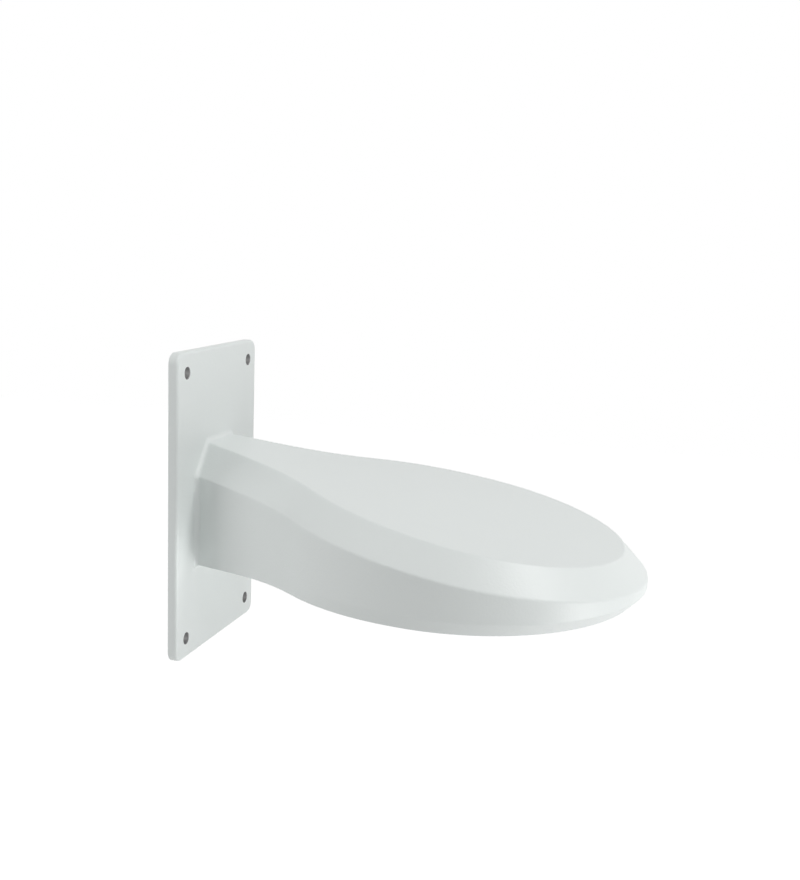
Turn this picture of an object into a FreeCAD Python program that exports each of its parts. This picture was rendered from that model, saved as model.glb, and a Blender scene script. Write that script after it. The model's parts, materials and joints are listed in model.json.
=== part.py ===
import FreeCAD, Part
import math
import os

# Wall bracket for a dome camera: one casting.
# Millimetres. X runs across the wall, Z runs up, and the wall is the plane Y = 0.
# The arm reaches out along -Y, and the origin is the middle of the plate's back face.
# "Reach" is the distance from the wall: a point at reach s lies at Y = -s.

V = FreeCAD.Vector

# Wall plate
plate_width = 91.0
plate_height = 150.0
plate_thickness = 5.0
plate_corner_radius = 5.5
plate_edge_radius = 1.5
screw_hole_diameter = 5.5
screw_hole_inset = 10.0

# Arm and disc in plan
neck_half_width = 24.1
neck_flare_angle = 17.5
neck_straight = 28.4
neck_sweep_radius = 107.0
shoulder_angle = 3.6
disc_radius = 81.6
disc_reach = 139.0

# Side profile: a sloping top face, a bevel down to a ridge, an upright wall, a flat underside.
# Heights are measured from the underside, at the wall and where their planes pass the tip.
underside_drop = 30.5
top_height = 60.6
top_height_at_tip = 20.3
ridge_height = 45.3
ridge_height_at_tip = 10.2
bevel_width = 11.6

# Camera seat under the disc: a circle a little smaller than the disc and nearer the wall
seat_step = 2.1
seat_setback = 4.0
seat_band_height = 6.0
seat_land = 5.0

# Casting
wall_thickness = 3.5
floor_thickness = 3.5
ridge_radius = 2.0
root_radius = 2.5

# Camera screw bosses and stiffening ribs inside the cup
boss_count = 4
boss_radius = 5.5
boss_wall_overlap = 1.5
boss_recess = 1.0
tapping_hole_diameter = 3.3
tapping_hole_depth = 12.0
rib_count = 8
rib_thickness = 2.5
rib_depth = 5.0
hub_radius = 16.0

# The arm is drawn this far behind the wall and trimmed there
overrun = 15.0

# Two points closer than this are the same point
touch = 0.001


def seat_radius():
    """Radius of the seat's outer edge."""
    return disc_radius - seat_step


def seat_reach():
    """Reach of the seat's centre."""
    return disc_reach - seat_setback


def cup_radius():
    """Radius of the round opening inside the seat."""
    return seat_radius() - seat_land


def plane_between(at_wall, at_tip):
    """Plane by its height at the wall and its fall per millimetre, from two heights above the underside."""
    return at_wall - underside_drop, (at_wall - at_tip) / (disc_reach + disc_radius)


def top_plane(depth=0.0):
    """Plane of the top face, or one that runs this far under it."""
    return plane_between(top_height - depth, top_height_at_tip - depth)


def ridge_plane(depth=0.0):
    """Plane that holds the ridge between bevel and wall, or one this far under it."""
    return plane_between(ridge_height - depth, ridge_height_at_tip - depth)


def level_plane(height):
    """Level plane this far above the underside."""
    return plane_between(height, height)


def arc(centre, radius, start, end):
    """Arc in plan, from one angle to another."""
    points = []
    for angle in (start, (start + end) / 2, end):
        points.append(centre + V(radius * math.cos(angle), radius * math.sin(angle), 0))
    return Part.Arc(*points).toShape()


def shoulder_arc(disc_centre, radius, leaving, sweep_centre):
    """Radius and centre of the arc that leaves the disc at an angle and runs into the neck's sweep."""
    span = sweep_centre - disc_centre
    along = span.dot(leaving)
    rise = neck_sweep_radius ** 2 - radius ** 2 - span.dot(span) + 2 * radius * along
    shoulder_radius = rise / (2 * (along - radius - neck_sweep_radius))
    return shoulder_radius, disc_centre - leaving * (shoulder_radius - radius)


def outline(inset, reach=disc_reach, radius=disc_radius):
    """Plan outline of one half of arm and disc, moved inwards by the inset and closed along the middle."""
    flare = math.radians(neck_flare_angle)
    outward = V(math.cos(flare), math.sin(flare), 0)
    along = V(math.sin(flare), -math.cos(flare), 0)
    bend = V(neck_half_width, 0, 0) + along * (neck_straight / math.cos(flare))
    behind = bend - along * ((neck_straight + overrun) / math.cos(flare)) - outward * inset
    sweep_centre = bend + outward * neck_sweep_radius
    disc_centre = V(0, -reach, 0)
    leave = math.radians(shoulder_angle)
    leaving = V(math.cos(leave), math.sin(leave), 0)
    shoulder_radius, shoulder_centre = shoulder_arc(disc_centre, radius, leaving, sweep_centre)
    to_shoulder = shoulder_centre - sweep_centre
    meet = math.atan2(to_shoulder.y, to_shoulder.x)
    behind_middle = V(0, behind.y, 0)
    return Part.Wire([
        Part.makeLine(behind_middle, behind),
        Part.makeLine(behind, bend - outward * inset),
        arc(sweep_centre, neck_sweep_radius + inset, flare - math.pi, meet),
        arc(shoulder_centre, shoulder_radius - inset, meet + math.pi, leave),
        arc(disc_centre, radius - inset, leave, -math.pi / 2),
        Part.makeLine(disc_centre - V(0, radius - inset, 0), behind_middle),
    ])


def both_sides(half):
    """A half of the form and its mirror image, joined."""
    return half.fuse(half.mirror(V(0, 0, 0), V(1, 0, 0)))


def on_plane(shape, plane):
    """A flat shape or a block, stood on a plane that falls away from the wall."""
    height, fall = plane
    lift = FreeCAD.Matrix(1, 0, 0, 0, 0, 1, 0, 0, 0, fall, 1, height, 0, 0, 0, 1)
    return shape.transformGeometry(lift)


def edges_on_plane(shape, plane):
    """Edges of a half that lie on a plane, without those at its middle and its back end."""
    height, fall = plane
    found = []
    for edge in shape.Edges:
        points = edge.discretize(5)
        flat = all(abs(point.z - height - fall * point.y) < touch for point in points)
        off_middle = max(point.x for point in points) > touch
        if flat and off_middle and min(point.y for point in points) < 0:
            found.append(edge)
    return found


def in_front_of(reach):
    """Space on the room side of a plane that stands this far from the wall."""
    size = 4 * (disc_reach + disc_radius + plate_height)
    return Part.makeBox(size, size, size, V(-size / 2, -size - reach, -size / 2))


def arm_body():
    """Outer form of arm and disc, through its outlines, with soft ridges."""
    levels = [
        on_plane(outline(0, seat_reach(), seat_radius()), level_plane(0)),
        on_plane(outline(0), level_plane(seat_band_height)),
        on_plane(outline(0), ridge_plane()),
        on_plane(outline(bevel_width), top_plane()),
    ]
    half = Part.makeLoft(levels, True, True)
    ridges = edges_on_plane(half, top_plane()) + edges_on_plane(half, ridge_plane())
    half = half.makeFillet(ridge_radius, ridges)
    return both_sides(half.common(in_front_of(0)))


def wall_plate():
    """Plate with rounded corners and a softened front edge."""
    plate = Part.makeBox(plate_width, plate_thickness, plate_height,
                         V(-plate_width / 2, -plate_thickness, -plate_height / 2))
    corners = [edge for edge in plate.Edges if edge.BoundBox.YLength > plate_thickness / 2]
    plate = plate.makeFillet(plate_corner_radius, corners)
    front = [edge for edge in plate.Edges if edge.BoundBox.YMax < -plate_thickness / 2]
    return plate.makeFillet(plate_edge_radius, front)


def screw_holes():
    """Four plain holes through the plate, near its corners."""
    across = plate_width / 2 - screw_hole_inset
    up = plate_height / 2 - screw_hole_inset
    drills = []
    for x in (-across, across):
        for z in (-up, up):
            drills.append(Part.makeCylinder(
                screw_hole_diameter / 2, 3 * plate_thickness, V(x, plate_thickness, z), V(0, -1, 0)))
    return drills


def is_root(edge):
    """True for an edge where the arm meets the plate's front face."""
    box = edge.BoundBox
    on_face = max(abs(box.YMin + plate_thickness), abs(box.YMax + plate_thickness)) < touch
    inside_x = max(box.XMax, -box.XMin) < plate_width / 2 - plate_edge_radius - touch
    inside_z = max(box.ZMax, -box.ZMin) < plate_height / 2 - plate_edge_radius - touch
    return on_face and inside_x and inside_z


def hollow():
    """Hollow of neck and cup, one wall inside the outer form and closed below by the neck's floor.

    Its corners sit below the ridge and inside the top edge so that the bevel's wall is as thick.
    """
    turn = math.atan2(bevel_width, top_height - ridge_height)
    ridge_drop = wall_thickness * math.tan(turn / 2)
    top_inset = bevel_width + wall_thickness * math.tan(math.pi / 4 - turn / 2)
    plan = outline(wall_thickness, seat_reach(), cup_radius() + wall_thickness)
    roof = outline(top_inset, seat_reach(), cup_radius() + wall_thickness)
    levels = [
        on_plane(plan, level_plane(floor_thickness)),
        on_plane(plan, ridge_plane(ridge_drop)),
        on_plane(roof, top_plane(wall_thickness)),
    ]
    return both_sides(Part.makeLoft(levels, True, True))


def cup_mouth():
    """Round opening of the cup, through the level of the floor."""
    top = V(0, -seat_reach(), floor_thickness - underside_drop)
    return Part.makeCylinder(cup_radius(), 2 * floor_thickness, top, V(0, 0, -1))


def boss_places():
    """Middle of each camera screw boss at the underside, spaced evenly round the seat."""
    reach = cup_radius() - boss_radius + boss_wall_overlap
    places = []
    for number in range(boss_count):
        angle = 2 * math.pi * (number + 0.5) / boss_count
        across = reach * math.cos(angle)
        along = reach * math.sin(angle) - seat_reach()
        places.append(V(across, along, -underside_drop))
    return places


def bosses():
    """Posts from just above the seat up to the roof."""
    posts = []
    for place in boss_places():
        start = place + V(0, 0, boss_recess)
        posts.append(Part.makeCylinder(boss_radius, top_height - boss_recess, start))
    return posts


def tapping_holes():
    """Blind holes for the camera's screws, up into the bosses."""
    depth = boss_recess + tapping_hole_depth
    return [Part.makeCylinder(tapping_hole_diameter / 2, depth, place) for place in boss_places()]


def ribs():
    """Hub under the middle of the roof and the ribs that run out from it."""
    length = cup_radius() + wall_thickness
    centre = V(0, -seat_reach(), 0)
    plan = [Part.makeCylinder(hub_radius, top_height, centre)]
    bar = Part.makeBox(length, rib_thickness, top_height, V(0, -rib_thickness / 2, 0))
    for number in range(rib_count):
        turned = bar.rotated(V(0, 0, 0), V(0, 0, 1), 360 * number / rib_count)
        plan.append(turned.translated(centre))
    return on_plane(plan[0].fuse(plan[1:]), top_plane(wall_thickness + rib_depth))


def wall_bracket():
    """The whole casting, with its holes."""
    arm = arm_body()
    shell = arm.fuse(wall_plate())
    root = [edge for edge in shell.Edges if is_root(edge)]
    shell = shell.makeFillet(root_radius, root)
    shell = shell.cut([hollow(), cup_mouth()])
    inner = ribs().fuse(bosses()).common(arm)
    casting = shell.fuse(inner)
    return casting.cut(screw_holes() + tapping_holes()).removeSplitter()


os.makedirs("parts", exist_ok=True)
bracket = wall_bracket()
bracket.exportStep("parts/wall_bracket.step")
print("solids", len(bracket.Solids), "valid", bracket.isValid(), "volume", round(bracket.Volume))
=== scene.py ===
# %% [markdown]
# # A wall bracket for a dome camera
#
# The object is one aluminium casting with a white powder coat. An upright plate is screwed to the
# wall. From it a hollow arm sweeps out and widens into a round seat that faces down, and the
# camera hangs from that seat.
#
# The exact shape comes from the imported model, which this script loads as a fixed frame. Blender
# adds what that model leaves out: soft rims, round holes of bare metal, the threads of the
# camera's screws, the coat's fine grain, and the light of a photo studio.

import json
import math

import bmesh
import bpy
from mathutils import Matrix, Vector


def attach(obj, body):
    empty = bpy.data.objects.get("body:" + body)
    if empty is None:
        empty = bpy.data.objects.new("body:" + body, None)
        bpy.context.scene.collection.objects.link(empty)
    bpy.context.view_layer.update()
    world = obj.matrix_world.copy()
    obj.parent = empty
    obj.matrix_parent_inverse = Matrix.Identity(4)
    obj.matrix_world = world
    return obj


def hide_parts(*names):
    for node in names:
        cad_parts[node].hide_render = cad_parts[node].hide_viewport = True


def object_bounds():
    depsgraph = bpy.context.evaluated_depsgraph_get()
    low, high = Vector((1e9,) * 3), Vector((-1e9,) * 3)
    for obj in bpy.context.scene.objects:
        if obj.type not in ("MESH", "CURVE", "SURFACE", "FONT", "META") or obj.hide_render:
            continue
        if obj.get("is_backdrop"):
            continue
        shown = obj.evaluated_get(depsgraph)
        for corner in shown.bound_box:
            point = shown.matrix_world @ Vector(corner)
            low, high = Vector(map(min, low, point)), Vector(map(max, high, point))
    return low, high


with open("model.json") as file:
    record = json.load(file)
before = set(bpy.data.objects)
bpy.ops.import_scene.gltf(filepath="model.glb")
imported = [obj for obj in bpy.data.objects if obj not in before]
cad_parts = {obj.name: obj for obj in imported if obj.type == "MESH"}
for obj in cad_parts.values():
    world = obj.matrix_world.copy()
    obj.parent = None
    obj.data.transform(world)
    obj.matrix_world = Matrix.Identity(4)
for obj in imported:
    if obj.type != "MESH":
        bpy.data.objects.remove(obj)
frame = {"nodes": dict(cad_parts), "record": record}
cad_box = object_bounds()
packed_bracket = frame["nodes"]["wall_bracket"]
scene = bpy.context.scene
MM = 0.001

low, high = cad_box
print("bracket, mm:", [round((b - a) / MM, 1) for a, b in zip(low, high)])

# %% [markdown]
# ## The photograph's camera
#
# A long lens stands to the left of the bracket, a little above it and nearly side on. The plate
# then shows as a narrow upright leaf and the arm runs out to the right. Only three angles and a
# place are needed. The lens is given in millimetres on a 36 mm sensor, which Blender lays along
# the long side of the picture, and nothing is shifted.

# %% Camera
VIEW_AZIMUTH = -74.24
VIEW_ELEVATION = 9.90
VIEW_ROLL = 2.096
VIEW_PLACE = Vector((-0.5354, -0.2507, 0.13255))
LENS_MM = 48.12
SENSOR_MM = 36.0
NEAREST_SEEN = 0.01
FARTHEST_SEEN = 50.0


def look_back_turn(azimuth, elevation, roll=0.0):
    """Turn of a camera or lamp that looks back at the bracket from this azimuth and elevation."""
    azimuth, elevation, roll = map(math.radians, (azimuth, elevation, roll))
    back = Vector((
        math.sin(azimuth) * math.cos(elevation),
        -math.cos(azimuth) * math.cos(elevation),
        math.sin(elevation),
    ))
    right = (-back).cross(Vector((0, 0, 1))).normalized()
    up = right.cross(-back)
    across = math.cos(roll) * right + math.sin(roll) * up
    upward = math.cos(roll) * up - math.sin(roll) * right
    return Matrix((across, upward, back)).transposed().to_4x4()


lens = bpy.data.cameras.new("studio_camera")
lens.sensor_width = SENSOR_MM
lens.lens = LENS_MM
lens.clip_start = NEAREST_SEEN
lens.clip_end = FARTHEST_SEEN
camera = bpy.data.objects.new("studio_camera", lens)
scene.collection.objects.link(camera)
camera.matrix_world = Matrix.Translation(VIEW_PLACE) @ look_back_turn(
    VIEW_AZIMUTH, VIEW_ELEVATION, VIEW_ROLL)
scene.camera = camera
bracket_middle = (low + high) / 2
print("camera stands", round((VIEW_PLACE - bracket_middle).length, 3), "m from the middle")

# %% [markdown]
# ## Small helpers for node trees
#
# Materials and geometry nodes are both trees of nodes joined by links. Two short functions keep
# the later cells readable: one adds a node and sets its inputs, the other adds a named socket to
# a group.

# %% Node helpers


def add_node(tree, kind, inputs=None, **settings):
    """A new node with its settings, and its inputs set to values or linked to sockets."""
    node = tree.nodes.new(kind)
    for name, value in settings.items():
        setattr(node, name, value)
    for name, value in (inputs or {}).items():
        if isinstance(value, bpy.types.NodeSocket):
            tree.links.new(value, node.inputs[name])
        else:
            node.inputs[name].default_value = value
    return node


def add_socket(tree, name, kind, value=None, is_output=False):
    """A named input or output of a group, with its starting value."""
    side = "OUTPUT" if is_output else "INPUT"
    socket = tree.interface.new_socket(name, in_out=side, socket_type="NodeSocket" + kind)
    if value is not None:
        socket.default_value = value
    return socket


print("helpers for nodes and sockets are ready")

# %% [markdown]
# ## Fine grain
#
# No surface is perfectly even. Powder paint is sprayed on dry and melted in an oven, and it flows
# out with a fine orange peel, about one millimetre from dimple to dimple. A drill leaves much
# finer marks in bare metal. Both come down to noise of a few sizes, so one group makes both and
# each material sets its own values. The group gives out a colour, a roughness and a height. The
# shader itself stays in the material.

# %% Grain group
NOISE_DETAIL = 1.0
NOISE_ROUGHNESS = 0.5


def grain_group():
    """Node group for an uneven surface: noise moves its colour, roughness and height."""
    tree = bpy.data.node_groups.new("surface_grain", "ShaderNodeTree")
    add_socket(tree, "Color", "Color", (0.8, 0.8, 0.8, 1))
    for name, value in (
        ("Shade Variation", 0.01), ("Shade Size", 0.036), ("Roughness", 0.4),
        ("Roughness Variation", 0.06), ("Grain Size", 0.001), ("Fine Grain Size", 0.0002),
        ("Fine Grain Share", 0.25),
    ):
        add_socket(tree, name, "Float", value)
    for name, kind in (("Color", "Color"), ("Roughness", "Float"), ("Height", "Float")):
        add_socket(tree, name, kind, is_output=True)
    given = add_node(tree, "NodeGroupInput").outputs
    place = add_node(tree, "ShaderNodeTexCoord").outputs["Object"]

    def noise(size):
        """Noise round one half, with features about this many metres wide."""
        scale = add_node(tree, "ShaderNodeMath", {0: 1.0, 1: size}, operation="DIVIDE")
        return add_node(tree, "ShaderNodeTexNoise", {
            "Vector": place, "Scale": scale.outputs[0],
            "Detail": NOISE_DETAIL, "Roughness": NOISE_ROUGHNESS,
        }).outputs["Fac"]

    def swing(pattern, amount, middle):
        """Value that swings round the middle with a pattern, by this amount."""
        centred = add_node(tree, "ShaderNodeMath", {0: pattern, 1: 0.5}, operation="SUBTRACT")
        return add_node(tree, "ShaderNodeMath", {
            0: centred.outputs[0], 1: amount, 2: middle,
        }, operation="MULTIPLY_ADD").outputs[0]

    grain = noise(given["Grain Size"])
    shade = swing(noise(given["Shade Size"]), given["Shade Variation"], 1.0)
    color = add_node(tree, "ShaderNodeVectorMath", {
        0: given["Color"], "Scale": shade,
    }, operation="SCALE")
    height = add_node(tree, "ShaderNodeMath", {
        0: noise(given["Fine Grain Size"]), 1: given["Fine Grain Share"], 2: grain,
    }, operation="MULTIPLY_ADD")
    add_node(tree, "NodeGroupOutput", {
        "Color": color.outputs[0],
        "Roughness": swing(grain, given["Roughness Variation"], given["Roughness"]),
        "Height": height.outputs[0],
    })
    return tree


surface_grain = grain_group()
print("grain group:", len(surface_grain.nodes), "nodes")

# %% [markdown]
# ## White powder coat
#
# The casting's white is a touch cool and not quite neutral, and its gloss is low. A pale object
# is easily burnt out, so the colour stays at about four fifths of full white and the lamps decide
# how bright it looks. The relief is the height of the grain, in metres.

# %% White powder coat material


def grainy_material(name, metallic, relief, values):
    """Material whose colour, roughness and bumps come from the grain group, with these values."""
    material = bpy.data.materials.new(name)
    material.use_nodes = True
    tree = material.node_tree
    shader = tree.nodes["Principled BSDF"]
    grain = add_node(tree, "ShaderNodeGroup", node_tree=surface_grain)
    for socket, value in values.items():
        grain.inputs[socket].default_value = value
    bump = add_node(tree, "ShaderNodeBump", {
        "Height": grain.outputs["Height"], "Strength": 1.0, "Distance": relief,
    })
    tree.links.new(grain.outputs["Color"], shader.inputs["Base Color"])
    tree.links.new(grain.outputs["Roughness"], shader.inputs["Roughness"])
    tree.links.new(bump.outputs["Normal"], shader.inputs["Normal"])
    shader.inputs["Metallic"].default_value = metallic
    return material


white_coat = grainy_material("white_coat", 0.0, 0.06 * MM, {
    "Color": (0.79, 0.828, 0.816, 1), "Shade Variation": 0.01, "Shade Size": 36 * MM,
    "Roughness": 0.40, "Roughness Variation": 0.06,
    "Grain Size": 1.1 * MM, "Fine Grain Size": 0.2 * MM,
})
print("material:", white_coat.name)

# %% [markdown]
# ## Bare metal, painted darker for shade
#
# The holes are drilled and tapped after painting, so their walls show bare aluminium. Its colour is
# set darker than bare aluminium's own, as painted shade for the little light that gets into the
# holes. Rings from the drill would have to follow each hole's own axis.
# Very fine noise does for all of them, since it only has to break up the shine.

# %% Drilled aluminium material with painted shade
# The colour 0.34 is darker than bare aluminium: painted shade inside the holes and on the threads.
drilled_metal_and_hole_shade = grainy_material("drilled_metal_and_hole_shade", 1.0, 0.01 * MM, {
    "Color": (0.34, 0.34, 0.34, 1), "Shade Variation": 0.3, "Shade Size": 0.4 * MM,
    "Roughness": 0.60, "Roughness Variation": 0.2,
    "Grain Size": 0.2 * MM, "Fine Grain Size": 0.05 * MM,
})
print("material:", drilled_metal_and_hole_shade.name)

# %% [markdown]
# ## The casting
#
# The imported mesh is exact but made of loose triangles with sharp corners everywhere. The casting
# could be modelled again from nothing, and would then be a little different from the one that is
# measured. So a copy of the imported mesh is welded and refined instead: first the holes are
# drilled round, then the flat faces are cleaned up, and last the rims are softened as thick paint
# leaves them.

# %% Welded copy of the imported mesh
WELD = 0.001 * MM


def welded_copy(source, name):
    """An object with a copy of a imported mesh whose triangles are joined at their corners."""
    form = bmesh.new()
    form.from_mesh(source.data)
    bmesh.ops.remove_doubles(form, verts=form.verts, dist=WELD)
    bmesh.ops.dissolve_degenerate(form, edges=form.edges, dist=WELD / 2)
    mesh = bpy.data.meshes.new(name)
    form.to_mesh(mesh)
    form.free()
    piece = bpy.data.objects.new(name, mesh)
    scene.collection.objects.link(piece)
    return piece


casting = welded_copy(packed_bracket, "casting")
casting.data.materials.append(white_coat)
casting.data.materials.append(drilled_metal_and_hole_shade)
print("casting:", len(casting.data.vertices), "points,", len(casting.data.polygons), "faces")

# %% [markdown]
# ## Where the holes are
#
# The record that comes with the model names the mounts: four wall screws on a rectangle, and four
# camera screws on a circle. Reading them there keeps the picture true to the measured part.

# %% Hole places
mounts = {mount["name"]: mount for mount in frame["record"]["mounts"]}
wall_pattern = mounts["wall_plate"]["dims"]
camera_pattern = mounts["camera_screws"]["dims"]
wall_screw_places = [
    Vector((x * wall_pattern["spacing_x_mm"] / 2, 0, z * wall_pattern["spacing_y_mm"] / 2)) * MM
    for x in (-1, 1) for z in (-1, 1)
]
circle_middle = Vector(mounts["camera_screws"]["pos_m"])
circle_radius = camera_pattern["pcd_mm"] / 2 * MM
camera_screw_count = camera_pattern["count"]
first_angle = math.pi / camera_screw_count
camera_screw_places = []
for number in range(camera_screw_count):
    angle = first_angle + 2 * math.pi * number / camera_screw_count
    camera_screw_places.append(
        circle_middle + circle_radius * Vector((math.cos(angle), math.sin(angle), 0)))
print(len(wall_screw_places), "wall screws,", len(camera_screw_places), "camera screws")

# %% [markdown]
# ## Turned tools
#
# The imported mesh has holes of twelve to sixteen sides. A round tool can cut them smooth. It is
# turned like a chess piece: a short list of radius and depth, spun round the hole's axis. Its
# ends flare with a quarter round, so that the cut leaves a soft mouth.

# %% Tool shapes
MOUTH_ROUNDING = 0.35 * MM
HAIR = 0.01 * MM
FLARE_STEPS = 4
TOOL_SIDES = 48


def flare(radius, face, inward):
    """Quarter round that opens a hole out to a face: inward is +1 where depth grows into the metal.

    It starts a hair outside the face, because a Boolean is unsure about faces in one plane.
    """
    profile = []
    for step in range(FLARE_STEPS + 1):
        angle = math.pi / 2 * step / FLARE_STEPS
        profile.append((
            radius + MOUTH_ROUNDING * (1 - math.sin(angle)),
            face + inward * (MOUTH_ROUNDING * (1 - math.cos(angle)) - HAIR),
        ))
    return profile


def turned_tool(form, profile, origin, axis):
    """Add a closed round tool to a form: pairs of radius and depth, spun about an axis."""
    turn = Vector(axis).to_track_quat("Z", "Y").to_matrix()
    rings = []
    for radius, depth in profile:
        ring = []
        for side in range(TOOL_SIDES):
            angle = 2 * math.pi * side / TOOL_SIDES
            spot = Vector((radius * math.cos(angle), radius * math.sin(angle), depth))
            ring.append(form.verts.new(origin + turn @ spot))
        rings.append(ring)
    for ring, following in zip(rings, rings[1:]):
        for side in range(TOOL_SIDES):
            after = (side + 1) % TOOL_SIDES
            form.faces.new((ring[side], ring[after], following[after], following[side]))
    form.faces.new(list(reversed(rings[0])))
    form.faces.new(rings[-1])


print("each tool has", TOOL_SIDES, "sides")

# %% [markdown]
# ## Drilling
#
# A wall screw's hole goes through the plate and is rounded at both faces. A camera screw's hole
# is blind: it is as wide as the thread's root at first, narrows to the tapping drill, and ends in
# the drill's point. All eight tools are joined in one mesh, so one Boolean cuts them at once, and
# it gives the walls that it makes the tools' own material.

# %% Drilling tools
WALL_SCREW_HOLE = 2.76 * MM
PLATE_THICKNESS = 5.0 * MM
THREAD_ROOT = 2.0 * MM
THREAD_DEPTH = 10.0 * MM
TAPPING_DRILL = 1.66 * MM
DRILL_DEPTH = 12.01 * MM
POINT_SLOPE = 0.6
POINT_LENGTH = POINT_SLOPE * TAPPING_DRILL
POINT_TIP = 0.02 * MM
SPARE = 1.0 * MM

back_mouth = flare(WALL_SCREW_HOLE, 0, 1)
front_mouth = flare(WALL_SCREW_HOLE, PLATE_THICKNESS, -1)[::-1]
through_profile = [
    (back_mouth[0][0], -SPARE), *back_mouth,
    *front_mouth, (front_mouth[-1][0], PLATE_THICKNESS + SPARE),
]
blind_mouth = flare(THREAD_ROOT, 0, 1)
blind_profile = [
    (blind_mouth[0][0], -SPARE), *blind_mouth, (THREAD_ROOT, THREAD_DEPTH),
    (TAPPING_DRILL, THREAD_DEPTH + THREAD_ROOT - TAPPING_DRILL), (TAPPING_DRILL, DRILL_DEPTH),
    (POINT_TIP, DRILL_DEPTH + POINT_LENGTH),
]


def drilling_tools():
    """One object that holds the tools of all eight holes."""
    form = bmesh.new()
    for place in wall_screw_places:
        turned_tool(form, through_profile, place, (0, -1, 0))
    for place in camera_screw_places:
        turned_tool(form, blind_profile, place, (0, 0, 1))
    bmesh.ops.recalc_face_normals(form, faces=form.faces)
    mesh = bpy.data.meshes.new("drilling_tools")
    form.to_mesh(mesh)
    form.free()
    mesh.materials.append(drilled_metal_and_hole_shade)
    tools = bpy.data.objects.new("drilling_tools", mesh)
    scene.collection.objects.link(tools)
    return tools


tools = drilling_tools()
print("drilling tools:", len(tools.data.polygons), "faces")

# %% [markdown]
# ## Cutting the holes
#
# The exact solver of the Boolean modifier takes less than a second here and leaves the rest of
# the casting alone. The loose alternative, faces pushed in by hand, would never be quite round.
# The result is kept as a plain mesh and the tools are thrown away.

# %% Drilled casting


def settle(piece):
    """Replace an object's mesh by what its modifiers make of it, and take the modifiers away."""
    graph = bpy.context.evaluated_depsgraph_get()
    mesh = bpy.data.meshes.new_from_object(
        piece.evaluated_get(graph), preserve_all_data_layers=True, depsgraph=graph)
    piece.modifiers.clear()
    piece.data = mesh


drilling = casting.modifiers.new("drilling", "BOOLEAN")
drilling.operation = "DIFFERENCE"
drilling.solver = "EXACT"
drilling.material_mode = "TRANSFER"
drilling.object = tools
settle(casting)
bpy.data.objects.remove(tools)
drilled_slot = casting.data.materials.find(drilled_metal_and_hole_shade.name)
hole_walls = [face for face in casting.data.polygons if face.material_index == drilled_slot]
print("hole walls:", len(hole_walls), "faces of", len(casting.data.polygons))

# %% [markdown]
# ## Soft rims
#
# A bevel needs room: on a mesh of thin triangles it would fold over itself. So triangles that lie
# in one plane are dissolved first. Then the rims that a hand meets are rounded: the underside,
# the lip above it and the back of the plate. The holes have their rounding from the tools. The
# root, the ridges and the plate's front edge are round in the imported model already.

# %% Crisp edges
CRISP_ANGLE = math.radians(29)
LIP_ANGLE = math.radians(4)
LIP_HEIGHT = -24.5 * MM
UNDERSIDE = -30.5 * MM
PLATE_BACK = 0.0
Y, Z = 1, 2
SAME_PLACE = 0.003 * MM


def lies_at(edge, axis, value):
    """True if both ends of an edge have this Y or Z."""
    return all(abs(corner.co[axis] - value) < SAME_PLACE for corner in edge.verts)


def mark_crisp_edges(form):
    """Mark the edges that shade with a break, and give them back as a list."""
    crisp = []
    for edge in form.edges:
        angle = edge.calc_face_angle()
        on_lip = lies_at(edge, Z, LIP_HEIGHT) and angle > LIP_ANGLE
        edge.smooth = angle < CRISP_ANGLE and not on_lip
        if not edge.smooth:
            crisp.append(edge)
    return crisp


def is_rim(edge):
    """True for an edge of the underside, the lip or the plate's back."""
    places = ((Z, UNDERSIDE), (Z, LIP_HEIGHT), (Y, PLATE_BACK))
    return any(lies_at(edge, axis, value) for axis, value in places)


print("edges over", round(math.degrees(CRISP_ANGLE)), "degrees stay crisp")

# %% [markdown]
# ## Rounding them
#
# A Bevel modifier would take every edge over some angle. Here the edges are picked by where they
# lie, so the bevel is made once, in mesh code. Half a millimetre in four steps is about what
# thick powder paint makes of a sharp edge, and enough to catch a thin line of light.

# %% Rounded rims
FLAT_ANGLE = math.radians(0.3)
RIM_ROUNDING = 0.5 * MM
RIM_SEGMENTS = 4
ROUND_PROFILE = 0.5


def round_rims(mesh):
    """Dissolve flat seams, then round the rims. Gives back how many edges were rounded."""
    form = bmesh.new()
    form.from_mesh(mesh)
    bmesh.ops.remove_doubles(form, verts=form.verts, dist=WELD)
    mark_crisp_edges(form)
    bmesh.ops.dissolve_limit(form, angle_limit=FLAT_ANGLE, verts=form.verts, edges=form.edges,
                             delimit={"SHARP", "MATERIAL"})
    rims = [edge for edge in mark_crisp_edges(form) if is_rim(edge)]
    bmesh.ops.bevel(form, geom=rims, offset=RIM_ROUNDING, offset_type="OFFSET",
                    segments=RIM_SEGMENTS, profile=ROUND_PROFILE, affect="EDGES",
                    clamp_overlap=False)
    for face in form.faces:
        face.smooth = True
    for edge in form.edges:
        edge.smooth = edge.calc_face_angle() < CRISP_ANGLE
    form.to_mesh(mesh)
    form.free()
    return len(rims)


rounded = round_rims(casting.data)
print("rounded", rounded, "rim edges; casting has", len(casting.data.polygons), "faces")

# %% [markdown]
# ## Smooth shading and a body to ride on
#
# Large flat faces meet narrow rounded ones, and plain smooth shading would smear the one over the
# other. The Weighted Normal modifier lets the large faces decide, so they look flat and the rims
# still look round. The casting then rides on the model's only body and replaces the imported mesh.

# %% Finished casting
weighted = casting.modifiers.new("area_weighted_normals", "WEIGHTED_NORMAL")
weighted.mode = "FACE_AREA"
weighted.keep_sharp = True
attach(casting, "root")
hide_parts("wall_bracket")
print("casting rides on root and replaces wall_bracket")

# %% [markdown]
# ## Screw threads
#
# The camera's four screws hold in threads cut into the bosses. A thread is one ridge with a
# three-sided section, wound along a helix, and that is just how the node tree makes it: a spiral
# curve is swept with a triangle and placed at each boss. Pitch, depth and radius are inputs, so
# another screw size needs no new tree.

# %% Thread tree
STEPS_PER_TURN = 24
RIDGE_CORNERS = 3


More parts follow.
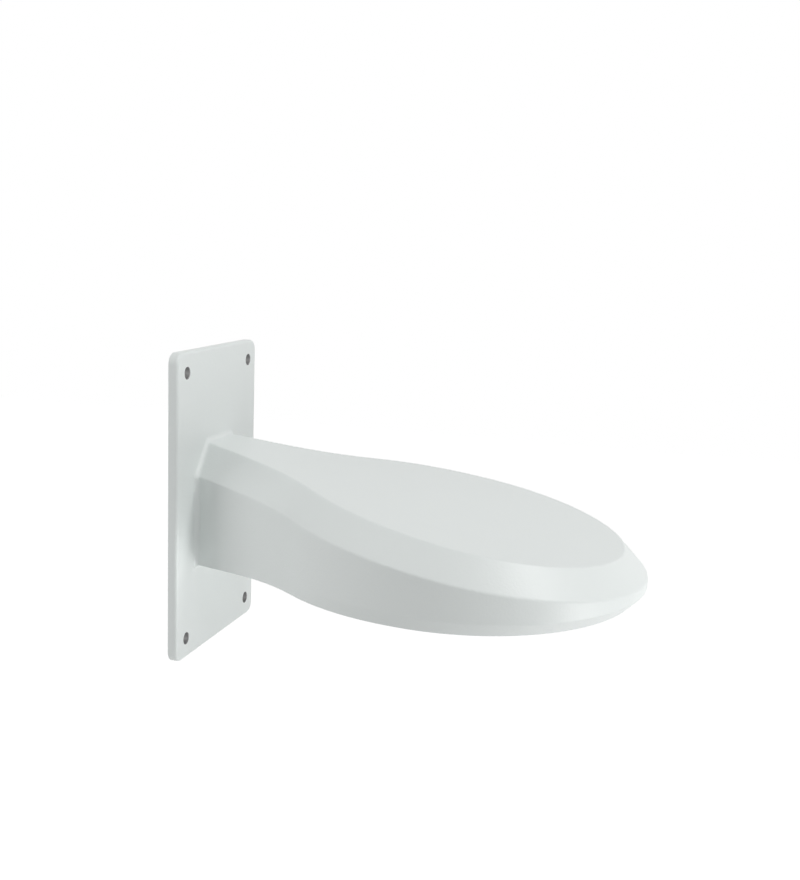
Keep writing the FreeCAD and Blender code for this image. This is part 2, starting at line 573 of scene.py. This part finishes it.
def thread_tree():
    """Geometry nodes that wind an inner thread at each place on a circle."""
    tree = bpy.data.node_groups.new("screw_threads", "GeometryNodeTree")
    add_socket(tree, "Geometry", "Geometry", is_output=True)
    for name, kind in (
        ("Circle Middle", "Vector"), ("Circle Radius", "Float"), ("First Angle", "Float"),
        ("Screw Count", "Int"), ("Ridge Radius", "Float"), ("Ridge Size", "Float"),
        ("Pitch", "Float"), ("Length", "Float"), ("Material", "Material"),
    ):
        add_socket(tree, name, kind)
    given = add_node(tree, "NodeGroupInput").outputs
    rotations = add_node(tree, "ShaderNodeMath", {
        0: given["Length"], 1: given["Pitch"],
    }, operation="DIVIDE")
    helix = add_node(tree, "GeometryNodeCurveSpiral", {
        "Resolution": STEPS_PER_TURN, "Rotations": rotations.outputs[0],
        "Start Radius": given["Ridge Radius"], "End Radius": given["Ridge Radius"],
        "Height": given["Length"], "Reverse": True,
    })
    upright = add_node(tree, "GeometryNodeSetCurveNormal", {"Curve": helix.outputs[0]}, mode="Z_UP")
    section = add_node(tree, "GeometryNodeCurvePrimitiveCircle", {
        "Resolution": RIDGE_CORNERS, "Radius": given["Ridge Size"],
    })
    ridge = add_node(tree, "GeometryNodeCurveToMesh", {
        "Curve": upright.outputs[0], "Profile Curve": section.outputs["Curve"], "Fill Caps": True,
    })
    circle = add_node(tree, "GeometryNodeMeshCircle", {
        "Vertices": given["Screw Count"], "Radius": given["Circle Radius"],
    })
    turn = add_node(tree, "ShaderNodeCombineXYZ", {"Z": given["First Angle"]})
    bosses = add_node(tree, "GeometryNodeTransform", {
        "Geometry": circle.outputs[0], "Translation": given["Circle Middle"],
        "Rotation": turn.outputs[0],
    })
    copies = add_node(tree, "GeometryNodeInstanceOnPoints", {
        "Points": bosses.outputs[0], "Instance": ridge.outputs[0],
    })
    real = add_node(tree, "GeometryNodeRealizeInstances", {"Geometry": copies.outputs[0]})
    coloured = add_node(tree, "GeometryNodeSetMaterial", {
        "Geometry": real.outputs[0], "Material": given["Material"],
    })
    add_node(tree, "NodeGroupOutput", {"Geometry": coloured.outputs[0]})
    return tree


winding = thread_tree()
print("thread tree:", len(winding.nodes), "nodes")

# %% [markdown]
# ## Threads from the tree
#
# The tree becomes a modifier of an empty object, and its inputs are set by their identifiers.
# Then the result is kept as a plain mesh, because the export knows no instances. The ridge's foot
# reaches a little into the hole's wall, so no gap can show between them.

# %% Threads
PITCH = 0.7 * MM
RIDGE_SIZE = 0.27 * MM
WALL_OVERLAP = 0.05 * MM
RIDGE_FOOT = THREAD_ROOT + WALL_OVERLAP


def made_by_nodes(name, tree, values):
    """A plain mesh object from a node tree, with these input values."""
    piece = bpy.data.objects.new(name, bpy.data.meshes.new(name))
    scene.collection.objects.link(piece)
    maker = piece.modifiers.new(name, "NODES")
    maker.node_group = tree
    for item in tree.interface.items_tree:
        if item.item_type == "SOCKET" and item.in_out == "INPUT" and item.name in values:
            maker[item.identifier] = values[item.name]
    settle(piece)
    return piece


threads = made_by_nodes("screw_threads", winding, {
    "Circle Middle": circle_middle + Vector((0, 0, MOUTH_ROUNDING + RIDGE_SIZE)),
    "Circle Radius": circle_radius,
    "First Angle": first_angle,
    "Screw Count": camera_screw_count,
    "Ridge Radius": RIDGE_FOOT - RIDGE_SIZE / 2,
    "Ridge Size": RIDGE_SIZE,
    "Pitch": PITCH,
    "Length": THREAD_DEPTH - MOUTH_ROUNDING - 2 * RIDGE_SIZE,
    "Material": drilled_metal_and_hole_shade,
})
print("threads:", len(threads.data.polygons), "faces in", camera_screw_count, "holes")

# %% [markdown]
# ## Shading the threads
#
# A thread's crests and flanks are crisp, and only along the helix is it smooth. Marking edges by
# their angle gives both at once. The faces are also turned outwards, because a swept curve may
# come out inside out.

# %% Shaded threads


def shade_by_angle(mesh):
    """Shade smooth, with a break at every crisp edge and faces turned outwards."""
    form = bmesh.new()
    form.from_mesh(mesh)
    bmesh.ops.remove_doubles(form, verts=form.verts, dist=WELD)
    bmesh.ops.recalc_face_normals(form, faces=form.faces)
    for face in form.faces:
        face.smooth = True
    for edge in form.edges:
        edge.smooth = edge.calc_face_angle(math.pi) < CRISP_ANGLE
    form.to_mesh(mesh)
    form.free()


shade_by_angle(threads.data)
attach(threads, "root")
print("crisp thread edges:", sum(1 for edge in threads.data.edges if edge.use_edge_sharp))

# %% [markdown]
# ## White surround
#
# Catalogue pictures of small white goods float in white. More light would only burn out the white
# paint, so the backdrop is made white another way: for rays that come from the camera, or off a
# gloss, the world shows full white, while the bracket itself is lit by a much weaker surround.

# %% Backdrop
SURROUND_STRENGTH = 0.375


def seen_directly(tree):
    """1 for rays from the camera and off a gloss, which show the backdrop, and 0 for its light."""
    path = add_node(tree, "ShaderNodeLightPath").outputs
    return add_node(tree, "ShaderNodeMath", {
        0: path["Is Camera Ray"], 1: path["Is Glossy Ray"],
    }, operation="MAXIMUM").outputs[0]


def white_studio(surround_strength):
    """World that lights the bracket evenly and looks full white."""
    world = bpy.data.worlds.new("white_studio")
    world.use_nodes = True
    tree = world.node_tree
    tree.nodes.clear()
    white = (1, 1, 1, 1)
    surround = add_node(tree, "ShaderNodeBackground", {
        "Color": white, "Strength": surround_strength,
    })
    backdrop = add_node(tree, "ShaderNodeBackground", {"Color": white, "Strength": 1.0})
    mix = add_node(tree, "ShaderNodeMixShader", {
        0: seen_directly(tree), 1: surround.outputs[0], 2: backdrop.outputs[0],
    })
    add_node(tree, "ShaderNodeOutputWorld", {"Surface": mix.outputs[0]})
    return world


scene.world = white_studio(SURROUND_STRENGTH)
scene.view_settings.view_transform = "Standard"
print("world:", scene.world.name, "at", SURROUND_STRENGTH)

# %% [markdown]
# ## Floor
#
# The bracket hangs on a wall, so the floor lies well below it and its shadow is soft and out of
# the picture. The floor is pale paper with a faint glow that only the camera and a gloss see.
# That lifts the lit paper to white and still leaves a shadow darker.

# %% Floor
FLOOR_HEIGHT = -1.0
FLOOR_SIZE = 12.0
PAPER_SHADE = 0.85
PAPER_ROUGHNESS = 0.9
PAPER_GLOW = 0.68


def floor_paper(glow_strength):
    """Pale matt paper with a glow that only the camera and a gloss see."""
    paper = bpy.data.materials.new("floor_paper")
    paper.use_nodes = True
    tree = paper.node_tree
    shader = tree.nodes["Principled BSDF"]
    shader.inputs["Base Color"].default_value = (PAPER_SHADE, PAPER_SHADE, PAPER_SHADE, 1)
    shader.inputs["Roughness"].default_value = PAPER_ROUGHNESS
    strength = add_node(tree, "ShaderNodeMath", {
        0: seen_directly(tree), 1: glow_strength,
    }, operation="MULTIPLY")
    glow = add_node(tree, "ShaderNodeEmission", {"Strength": strength.outputs[0]})
    both = add_node(tree, "ShaderNodeAddShader", {0: shader.outputs[0], 1: glow.outputs[0]})
    tree.links.new(both.outputs[0], tree.nodes["Material Output"].inputs["Surface"])
    return paper


def studio_floor(height, size):
    """Level square floor, which isn't part of the object."""
    reach = size / 2
    square = ((-reach, -reach), (reach, -reach), (reach, reach), (-reach, reach))
    mesh = bpy.data.meshes.new("studio_floor")
    mesh.from_pydata([(x, y, height) for x, y in square], [], [(0, 1, 2, 3)])
    mesh.materials.append(floor_paper(PAPER_GLOW))
    floor = bpy.data.objects.new("studio_floor", mesh)
    scene.collection.objects.link(floor)
    floor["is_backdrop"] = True
    return floor


floor = studio_floor(FLOOR_HEIGHT, FLOOR_SIZE)
print("floor lies", round((low[2] - FLOOR_HEIGHT) / MM), "mm below the plate")

# %% [markdown]
# ## Studio light
#
# In the picture the nose of the seat and the underside's rim are the brightest places, the flank
# at the wall is the darkest, and no shadow has a hard edge. That takes a ring of soft boxes: a
# large one high on the left, a nearer one below the nose, and two behind the left side, which
# keep the flank and the plate's edge from going grey. Two small ones in front are for the gloss.
# The high one makes the bright patch on the bevel and the low one the sheen on the wall under it,
# because a small lamp gives a tighter highlight. Each box is described by where it stands, seen
# from the bracket, and its power is per square metre of box.

# %% Soft boxes


def soft_box(name, azimuth, elevation, strength, distance=1.2, side=0.8):
    """Square lamp that stands in this direction from the bracket and faces it."""
    lamp = bpy.data.lights.new(name, "AREA")
    lamp.shape = "SQUARE"
    lamp.size = side
    lamp.energy = strength * side * side
    box = bpy.data.objects.new(name, lamp)
    turn = look_back_turn(azimuth, elevation)
    aim = Vector((0, low[1] / 2, 0))
    box.matrix_world = Matrix.Translation(aim + turn @ Vector((0, 0, distance))) @ turn
    scene.collection.objects.link(box)
    return box


soft_boxes = [
    soft_box("high_left_box", -20, 40, 4.7),
    soft_box("high_small_box", 5, 56, 41.5, side=0.3),
    soft_box("low_small_box", -8, -20, 22.8, side=0.4),
    soft_box("below_nose_box", 0, -45, 4.1, distance=0.9, side=0.6),
    soft_box("rear_side_box", -150, 10, 5.8),
    soft_box("rear_high_box", -120, 40, 1.5),
]
whole_power = sum(box.data.energy for box in soft_boxes)
print("soft boxes:", len(soft_boxes), "with", round(whole_power, 1), "W")

# %% [markdown]
# ## Measuring the growth
#
# The box of the dressed bracket is set against the imported one's, and its growth is printed.
# The dressed bracket may not be larger than the measured one.

# %% Finish
visual_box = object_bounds()
growth = [
    round(max(before - after, far_after - far_before) / MM, 3)
    for before, after, far_before, far_after in zip(
        cad_box[0], visual_box[0], cad_box[1], visual_box[1])
]
print("visual model grows by, mm:", growth)
